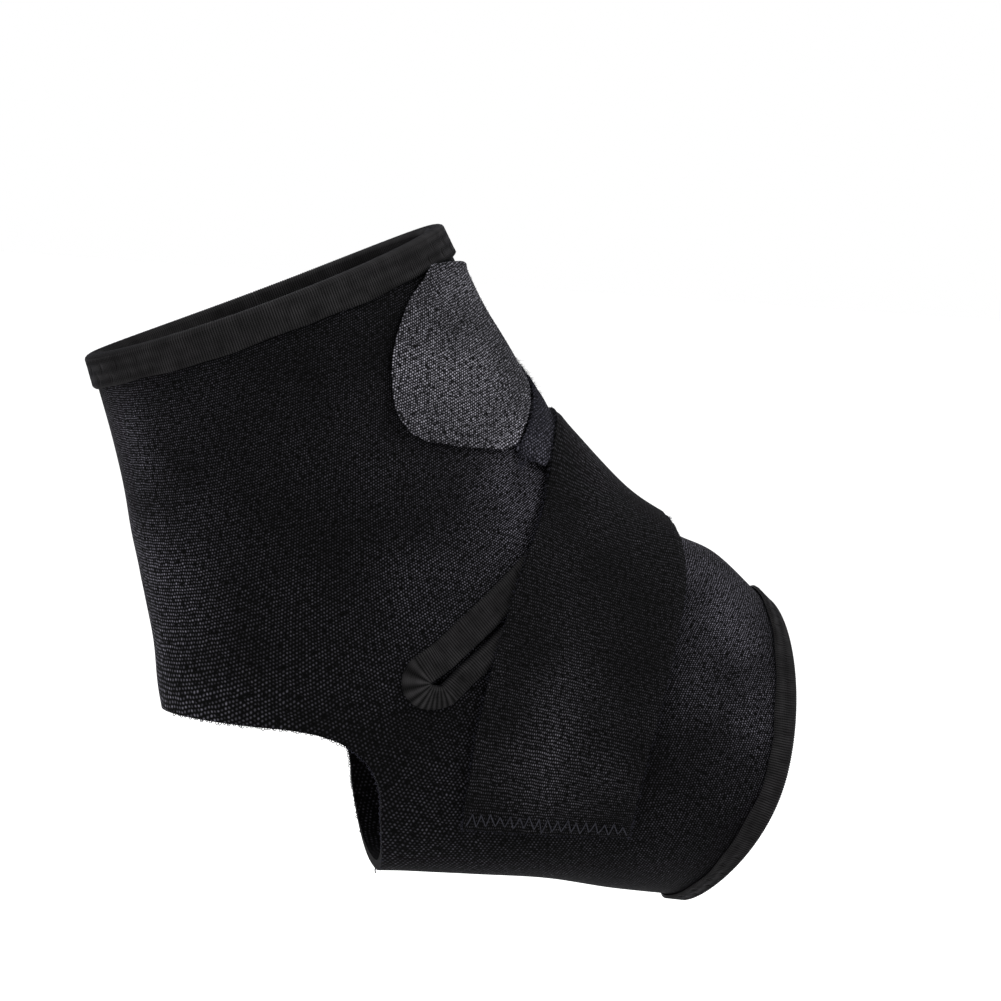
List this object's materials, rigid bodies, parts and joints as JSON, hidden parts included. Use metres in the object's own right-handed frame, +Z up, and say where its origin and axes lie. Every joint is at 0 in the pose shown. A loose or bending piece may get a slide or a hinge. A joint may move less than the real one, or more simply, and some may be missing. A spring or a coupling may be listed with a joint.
{
  "type": "ankle brace",
  "caption": "Wrap-round neoprene ankle brace with open heel and toes, a bound slit over the instep, a wide instep strap and a hook tab on the cuff.",
  "frame": {"origin": "middle of the hollow that holds the ankle, the point where the leg's and the foot's middle lines meet", "axes": "+X to the toes, +Z up from the level sole, -Y to the outer side of a right foot"},
  "size_m": [0.2139, 0.099, 0.2005],
  "materials": {
    "neoprene_knit": "black nylon knit laminated on neoprene, slightly brushed, matte",
    "binding_tape": "ribbed black polyester tape, matte",
    "strap_knit": "black stretch knit with fine cross ribs, matte",
    "flap_pile": "dark brushed loop pile, matte",
    "hook_tape": "dark grey woven hook tape seen from its back, slight gloss on the dots"
  },
  "bodies": {
    "root": {"sleeve": "neoprene_knit", "top_binding": "binding_tape", "forefoot_binding": "binding_tape", "slit_binding": "binding_tape", "instep_strap": "strap_knit", "front_flap": "flap_pile", "hook_tab": "hook_tape"}
  },
  "joints": []
}
